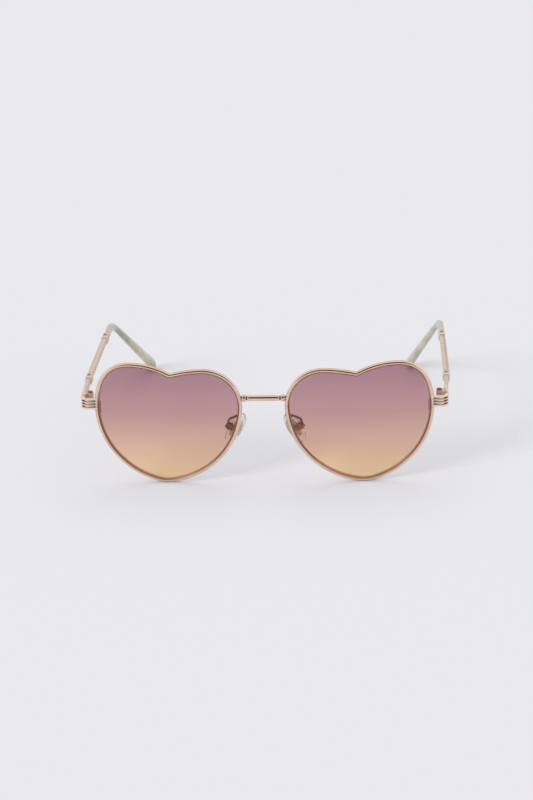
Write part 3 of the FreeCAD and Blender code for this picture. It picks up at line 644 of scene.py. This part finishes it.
def resize(before, after, width_share, height_share, lie=Matrix.Identity(4)):
    """Move a loop from one centre to another and scale it across, as it lies."""
    scale = lie @ Matrix.Diagonal((width_share, 1, height_share, 1)) @ lie.inverted()
    return Matrix.Translation(after) @ scale @ Matrix.Translation(-before)


# %% Leaf and rod
leaf_thickness, leaf_height, nose_height, leaf_rounding = 1.4, 5.0, 2.6, 0.5
leaf_start, leaf_full, leaf_narrows = 0.05, 2.3, 5.0
rod_width, rod_height, rod_start, rod_shade_start = 1.8, 2.6, 20.2, 21.2
outer_half, rod_shade = 0.6, 0.7
temple = bmesh.new()
shade_between_beads = temple.verts.layers.float.new("groove")
loop = across_temple(temple, leaf_thickness, nose_height, leaf_rounding, leaf_start, leaf_x)
loop = stretch(temple, loop, resize(on_temple(leaf_start, leaf_x), on_temple(leaf_full, leaf_x),
                                    1, leaf_height / nose_height))
loop = stretch(temple, loop, Matrix.Translation((0, leaf_narrows - leaf_full, 0)))
loop = stretch(temple, loop, resize(on_temple(leaf_narrows, leaf_x), on_temple(rod_start),
                                    rod_width / leaf_thickness, rod_height / leaf_height))
loop = stretch(temple, loop, Matrix.Translation((0, rod_shade_start - rod_start, 0)))
# Painted shade between the beads, on the outer side of the rod
for vert in loop_verts(loop):
    if vert.co.x > temple_x + outer_half:
        vert[shade_between_beads] = rod_shade
stretch(temple, loop, Matrix.Translation((0, rear_collar_end - rod_shade_start, 0)))
cap(temple)
print("leaf and rod points", len(temple.verts))

# %% Beads and core wire
first_bead, bead_pitch, bead_count, bead_radius, bead_aside = 28.3, 2.9, 15, 1.05, 0.55
for index in range(bead_count):
    middle = on_temple(first_bead + index * bead_pitch, temple_x + bead_aside)
    bmesh.ops.create_uvsphere(temple, u_segments=24, v_segments=14, radius=bead_radius,
                              matrix=Matrix.Translation(middle))
core_radius, core_overlap, core_short_by = 0.7, 1, 9.0
facing_back = Matrix.Rotation(math.radians(-90), 4, "X")
core = bmesh.new()
core_base = on_temple(rear_collar_end - core_overlap)
bmesh.ops.create_circle(core, cap_ends=False, segments=16, radius=core_radius,
                        matrix=Matrix.Translation(core_base) @ facing_back)
loop = stretch(core, core.edges[:],
               Matrix.Translation((0, ear_bend - rear_collar_end + core_overlap, 0)))
loop = turn_loop(core, loop, bend_centre, bend_axis, droop_angle, steps=14)
stretch(core, loop, Matrix.Translation(tip_way * (tip_run - core_short_by)))
cap(core)
core_mesh = bpy.data.meshes.new("core_wire")
core.to_mesh(core_mesh)
core.free()
temple.from_mesh(core_mesh)
bpy.data.meshes.remove(core_mesh)
bmesh.ops.transform(temple, matrix=folded_in, verts=temple.verts)
pair(temple, "temple_rod", "temple_shaft", "temple", satin_gold)

# %% Collars
collar_width, collar_height, collar_rounding = 2.7, 3.5, 0.65
mouth_width, mouth_height, mouth_length = 2.2, 3.0, 0.3


def collar(name, node, start, length):
    """Sleeve with rounded long edges and a chamfer at both ends."""
    stop = start + length
    wider, taller = collar_width / mouth_width, collar_height / mouth_height
    bm = bmesh.new()
    loop = across_temple(bm, mouth_width, mouth_height, collar_rounding, start)
    loop = stretch(bm, loop, resize(on_temple(start), on_temple(start + mouth_length), wider, taller))
    loop = stretch(bm, loop, Matrix.Translation((0, length - 2 * mouth_length, 0)))
    stretch(bm, loop, resize(on_temple(stop - mouth_length), on_temple(stop), 1 / wider, 1 / taller))
    cap(bm)
    bmesh.ops.transform(bm, matrix=folded_in, verts=bm.verts)
    pair(bm, name, node, "temple", satin_gold)


collar("front_sleeve", "front_collar", start=rod_start, length=5.0)
collar("rear_sleeve", "rear_collar", start=72.0, length=5.5)

# %% [markdown]
# ## Temple tip
# The plastic tip is a pearly sleeve, oval in section, bent down behind the ear and wider towards
# its round end. A circle is scaled to an oval, pulled to the ear bend, spun through it, pulled
# along the last run while it widens, and closed with a dome of shrinking rings. A tapered curve
# would do too, but loops can grow in width and height apart. The marbled colour is a ramp over slow
# noise, under a thin clear coat.

# %% Pearl finish
pearl, nodes, links, shader, place = new_finish("pearl_marble")
cloud = noise(nodes, links, place, scale=62.0, detail=3.0, distortion=0.5)
vein = noise(nodes, links, place, scale=420.0, detail=4.0, distortion=2.4)
marble = ramp(nodes, links, cloud, [
    (0.34, linear(142, 146, 130)), (0.44, linear(164, 166, 148)),
    (0.52, linear(186, 173, 149)), (0.66, linear(202, 199, 182))])
links.new(marble, shader.inputs["Base Color"])
links.new(spread(nodes, links, vein, 0.10, 0.26), shader.inputs["Roughness"])
links.new(bumped(nodes, links, vein, strength=0.03, distance=0.00005), shader.inputs["Normal"])
shader.inputs["Coat Weight"].default_value = 0.5
shader.inputs["Coat Roughness"].default_value = 0.06
shader.inputs["Subsurface Weight"].default_value = 0.2
shader.inputs["Subsurface Radius"].default_value = (0.002, 0.002, 0.0018)
shader.inputs["Subsurface Scale"].default_value = 1.0
print("tip finish", pearl.name)

# %% Tip to its last run
tip_mouth, tip_bend, tip_end, tip_rounding = (2.5, 2.9), (2.5, 3.4), (3.6, 6.2), 3.0


def grow(bm, loop, start, end, sizes, lie, steps):
    """Pull an oval along a straight line while it grows from its first size to its last one."""
    for step in range(steps):
        now, then = step / steps, (step + 1) / steps
        wider, taller = [(first + (last - first) * then) / (first + (last - first) * now)
                         for first, last in zip(*sizes)]
        move = resize(start.lerp(end, now), start.lerp(end, then), wider, taller, lie)
        loop = stretch(bm, loop, move)
    return loop


tip = bmesh.new()
tip_base = on_temple(rear_collar_end)
tip_oval = toe @ facing_back @ Matrix.Diagonal((*tip_mouth, 1, 1))
bmesh.ops.create_circle(tip, cap_ends=False, segments=40, radius=0.5,
                        matrix=Matrix.Translation(tip_base) @ tip_oval)
loop = grow(tip, tip.edges[:], tip_base, bend_base, (tip_mouth, tip_bend), toe, steps=4)
loop = turn_loop(tip, loop, bend_centre, bend_axis, droop_angle, steps=16)
tip_lie = droop @ toe
dome_base = bend_end + tip_way * (tip_run - tip_rounding)
loop = grow(tip, loop, bend_end, dome_base, (tip_bend, tip_end), tip_lie, steps=12)
print("tip points before its dome", len(tip.verts))

# %% Round end of the tip
dome_steps = 9
for step in range(dome_steps):
    low, high = [math.radians(90 * ring / (dome_steps + 1)) for ring in (step, step + 1)]
    before, after = [dome_base + tip_way * (tip_rounding * math.sin(angle)) for angle in (low, high)]
    share = math.cos(high) / math.cos(low)
    loop = stretch(tip, loop, resize(before, after, share, share, tip_lie))
close_at(tip, loop, dome_base + tip_way * tip_rounding)
cap(tip)
bmesh.ops.transform(tip, matrix=folded_in, verts=tip.verts)
pair(tip, "pearl_tip", "temple_tip", "temple", pearl, sharp=50)

# %% [markdown]
# ## Nose pads
# The pads are clear soft plastic ovals, each moulded round a small metal insert with a tongue. An
# oval ring is pulled to its thickness and closed, both faces swell slightly, and the two edges get
# a wide round bevel. A subdivided disc would also do, but the bevel keeps the oval true.

# %% Clear pad finish
clear_pad, nodes, links, shader, place = new_finish("clear_pad_plastic")
haze = noise(nodes, links, place, scale=260.0, detail=1.5)
pad_tone = ramp(nodes, links, haze, [
    (noise_low, (0.97, 0.96, 0.95)), (noise_high, (0.99, 0.985, 0.975))])
links.new(pad_tone, shader.inputs["Base Color"])
links.new(spread(nodes, links, haze, 0.17, 0.24), shader.inputs["Roughness"])
shader.inputs["Transmission Weight"].default_value = 0.94
shader.inputs["IOR"].default_value = 1.42
print("pad finish", clear_pad.name)

# %% Pad mesh
pad_height, pad_length, pad_thickness, pad_swell = 13.6, 7.6, 2.5, 0.12
pad_lean, pad_splay, face_inset, edge_rounding, near_flat = -32, -32, 2.2, 0.95, 0.01
pad_middle = Vector((11.8, front_y + 9.0, 21.1293))
pad_place = (Matrix.Translation(pad_middle)
             @ Matrix.Rotation(math.radians(pad_lean), 4, "Y")
             @ Matrix.Rotation(math.radians(pad_splay), 4, "Z"))
pad_flat = pad_thickness / 2 - pad_swell
pad = bmesh.new()
bmesh.ops.create_circle(pad, cap_ends=False, segments=56, radius=0.5,
                        matrix=Matrix.Translation((-pad_flat, 0, 0))
                        @ Matrix.Rotation(math.radians(90), 4, "Y")
                        @ Matrix.Diagonal((pad_height, pad_length, 1, 1)))
stretch(pad, pad.edges[:], Matrix.Translation((2 * pad_flat, 0, 0)))
cap(pad)
for face in [face for face in pad.faces if len(face.verts) > 4]:
    way = 1 if face.calc_center_median().x > 0 else -1
    bmesh.ops.inset_individual(pad, faces=[face], thickness=face_inset, depth=0)
    bmesh.ops.translate(pad, vec=(way * pad_swell, 0, 0), verts=face.verts)


def on_pad_edge(edge):
    """True for an edge of one of the two outer ovals of the pad."""
    one, other = [vert.co.x for vert in edge.verts]
    return one * other > 0 and all(abs(abs(x) - pad_flat) < near_flat for x in (one, other))


bmesh.ops.bevel(pad, geom=[edge for edge in pad.edges if on_pad_edge(edge)], offset=edge_rounding,
                offset_type="OFFSET", affect="EDGES", segments=8, profile=0.5, material=-1,
                clamp_overlap=True)
bmesh.ops.transform(pad, matrix=pad_place, verts=pad.verts)
pair(pad, "clear_nose_pad", "nose_pad", "pad", clear_pad, sharp=60)

# %% [markdown]
# ## Small metal parts
# Hinge leaves, screws, pins, closing blocks, pad boxes, pad arms and pad inserts already have their
# right shape. Their solids come in as loose triangles, so a copy is merged, and smooth shading with
# sharp edges kept makes the round parts round. The sharp edges get a hair of a bevel, as a tumbled
# part has.

# %% Merge and soften copies
small_parts = {
    "closing_block": ("front", "rose_gold", matt_gold, 0.06),
    "rim_screw": ("front", "screw_metal", screw_metal, 0.0),
    "front_hinge": ("front", "rose_gold", matt_gold, 0.06),
    "hinge_screw": ("front", "screw_metal", screw_metal, 0.0),
    # Pad arms and boxes take the gold in painted shade
    "pad_arm": ("front", "rose_gold", pad_gold_in_shade, 0.0),
    "pad_box": ("front", "rose_gold", pad_gold_in_shade, 0.06),
    "pad_screw": ("front", "screw_metal", screw_metal, 0.0),
    "pad_core": ("pad", "screw_metal", satin_gold, 0.04),
    "temple_hinge": ("temple", "rose_gold", matt_gold, 0.06),
    "collar_pins": ("temple", "screw_metal", screw_metal, 0.0),
}
flat_angle, sharp_angle, triangle_gap = 2, 50, 0.000002


def softened(node, name, body, finish, bevel):
    """Merge a copy of a node's triangles, and bevel its sharp edges by some millimetres."""
    bm = bmesh.new()
    bm.from_mesh(frame["nodes"][node].data)
    bmesh.ops.remove_doubles(bm, verts=bm.verts, dist=triangle_gap)
    if bevel:
        bmesh.ops.dissolve_limit(bm, angle_limit=math.radians(flat_angle),
                                 verts=bm.verts, edges=bm.edges)
        sharp = [edge for edge in bm.edges
                 if edge.is_manifold and edge.calc_face_angle() > math.radians(sharp_angle)]
        bmesh.ops.bevel(bm, geom=sharp, offset=bevel * mm, offset_type="OFFSET", affect="EDGES",
                        segments=2, profile=0.5, material=-1, clamp_overlap=True)
    return finished(bm, name, [node], body, finish)


for part, (body, slot, finish, bevel) in small_parts.items():
    for side in sides:
        made = softened(part + "_" + side, part + "_soft_" + side, body_on(body, side),
                        finish, bevel)
    print(part, "faces", len(made.data.polygons))

# %% [markdown]
# ## Table
# The glasses stand on a plain pale table. It is a large grid with a dull paper finish, so large
# that it fills the picture from most sides, and it isn't part of the object.

# %% Table
table_colour, paper_shade, table_half = linear(233, 232, 237), 0.995, 6.0
table_finish, nodes, links, shader, place = new_finish("pale_table")
paper = noise(nodes, links, place, scale=300.0, detail=4.0)
paper_tone = ramp(nodes, links, paper, [
    (noise_low, tuple(value * paper_shade for value in table_colour)), (noise_high, table_colour)])
links.new(paper_tone, shader.inputs["Base Color"])
shader.inputs["Roughness"].default_value = 0.9
shader.inputs["Specular IOR Level"].default_value = 0.0
table = bmesh.new()
bmesh.ops.create_grid(table, x_segments=2, y_segments=2, size=table_half)
table_mesh = bpy.data.meshes.new("table")
table.to_mesh(table_mesh)
table.free()
table_mesh.materials.append(table_finish)
table_top = bpy.data.objects.new("table", table_mesh)
bpy.context.scene.collection.objects.link(table_top)
print("table", 2 * table_half, "m wide")

# %% [markdown]
# ## Light
# An even world gives most of the light, a low soft sun from the left draws the long faint shadow to
# the right, and a soft sun from behind gives the short one in front. Lamps near the glasses would
# do this too, but suns light the whole table alike. Polished wire shows what stands round it, so
# for glossy rays the world is a bright studio that is dark only in one direction, where the
# photograph was taken from: that is the thin dark line along the wire. The camera, and what is seen
# through the lenses and pads, gets a plain backdrop in the colour of the table.

# %% World backgrounds
scene = bpy.context.scene
scene.view_settings.view_transform = "Standard"
even_light, camera_way = 0.782, (0.054, -0.938, 0.342)
world = bpy.data.worlds.new("studio")
world.cycles.sampling_method = "NONE"
scene.world = world
world.use_nodes = True
nodes, links = world.node_tree.nodes, world.node_tree.links
even = nodes["Background"]
even.inputs["Color"].default_value = (1, 1, 1, 1)
even.inputs["Strength"].default_value = even_light
studio = nodes.new("ShaderNodeBackground")
looking = nodes.new("ShaderNodeTexCoord")
towards = nodes.new("ShaderNodeVectorMath")
towards.operation = "DOT_PRODUCT"
towards.inputs[1].default_value = camera_way
links.new(looking.outputs["Generated"], towards.inputs[0])
studio_tone = ramp(nodes, links, towards.outputs["Value"], [
    (0.0, (0.95, 0.94, 0.94)), (0.66, (1.0, 0.98, 0.97)), (0.73, (0.54, 0.34, 0.21)),
    (0.80, (0.19, 0.092, 0.05)), (1.0, (0.13, 0.06, 0.034))])
links.new(studio_tone, studio.inputs["Color"])
backdrop = nodes.new("ShaderNodeBackground")
backdrop.inputs["Color"].default_value = (*table_colour, 1)
print("world", world.name, "even light", even_light)

# %% World for each kind of ray
path = nodes.new("ShaderNodeLightPath")
seen_ray = nodes.new("ShaderNodeMath")
seen_ray.operation = "MAXIMUM"
links.new(path.outputs["Is Camera Ray"], seen_ray.inputs[0])
links.new(path.outputs["Is Transmission Ray"], seen_ray.inputs[1])
around_it = even.outputs["Background"]
for share, shown in ((path.outputs["Is Glossy Ray"], studio), (seen_ray.outputs["Value"], backdrop)):
    ray_mix = nodes.new("ShaderNodeMixShader")
    links.new(share, ray_mix.inputs["Fac"])
    links.new(around_it, ray_mix.inputs[1])
    links.new(shown.outputs["Background"], ray_mix.inputs[2])
    around_it = ray_mix.outputs["Shader"]
links.new(around_it, nodes["World Output"].inputs["Surface"])
print("world nodes", len(nodes))


# %% Suns
def soft_sun(name, share, heading, elevation, angle):
    """Sun that gives the table a share of its light, from a heading in degrees from X."""
    rise, round_x = math.radians(elevation), math.radians(heading)
    sun = bpy.data.lights.new(name, "SUN")
    sun.energy = share * math.pi / math.sin(rise)
    sun.angle = math.radians(angle)
    source = Vector((math.cos(rise) * math.cos(round_x), math.cos(rise) * math.sin(round_x),
                     math.sin(rise)))
    lamp = bpy.data.objects.new(name, sun)
    lamp.rotation_euler = source.to_track_quat("Z", "Y").to_euler()
    lamp.visible_glossy = False
    scene.collection.objects.link(lamp)


left_share, back_share = 0.145, 0.08
soft_sun("left_sun", left_share, heading=229, elevation=29, angle=22)
soft_sun("back_sun", back_share, heading=88, elevation=60, angle=40)
print("light on the table", even_light + left_share + back_share)

# %% [markdown]
# ## Camera
# The camera stands in front of the glasses and a little to the right, looks down on them and has a
# long lens. Its place was found by laying the outlines of both lenses over the photograph, and a
# small shift of the lens frames the picture in the same way.

# %% Camera
azimuth, elevation, roll = [math.radians(angle) for angle in (3.3, 20, 1.569)]
distance, target = 1.05, Vector((0, front_y * mm, lens_middle_z * mm))
level = Vector((math.cos(azimuth), math.sin(azimuth), 0))
back = Vector((math.sin(azimuth) * math.cos(elevation), -math.cos(azimuth) * math.cos(elevation),
               math.sin(elevation)))
up = back.cross(level)
right = level * math.cos(roll) - up * math.sin(roll)
top = level * math.sin(roll) + up * math.cos(roll)
photo_lens = bpy.data.cameras.new("photo_camera")
photo_lens.sensor_fit = "VERTICAL"
photo_lens.sensor_height = 36
photo_lens.lens = 120
photo_lens.shift_x = 0.00314
photo_lens.shift_y = 0.0314
camera = bpy.data.objects.new("photo_camera", photo_lens)
turned = Matrix((right, top, back)).transposed().to_4x4()
camera.matrix_world = Matrix.Translation(target + back * distance) @ turned
scene.collection.objects.link(camera)
scene.camera = camera
print("camera at", [round(value, 3) for value in camera.matrix_world.translation])
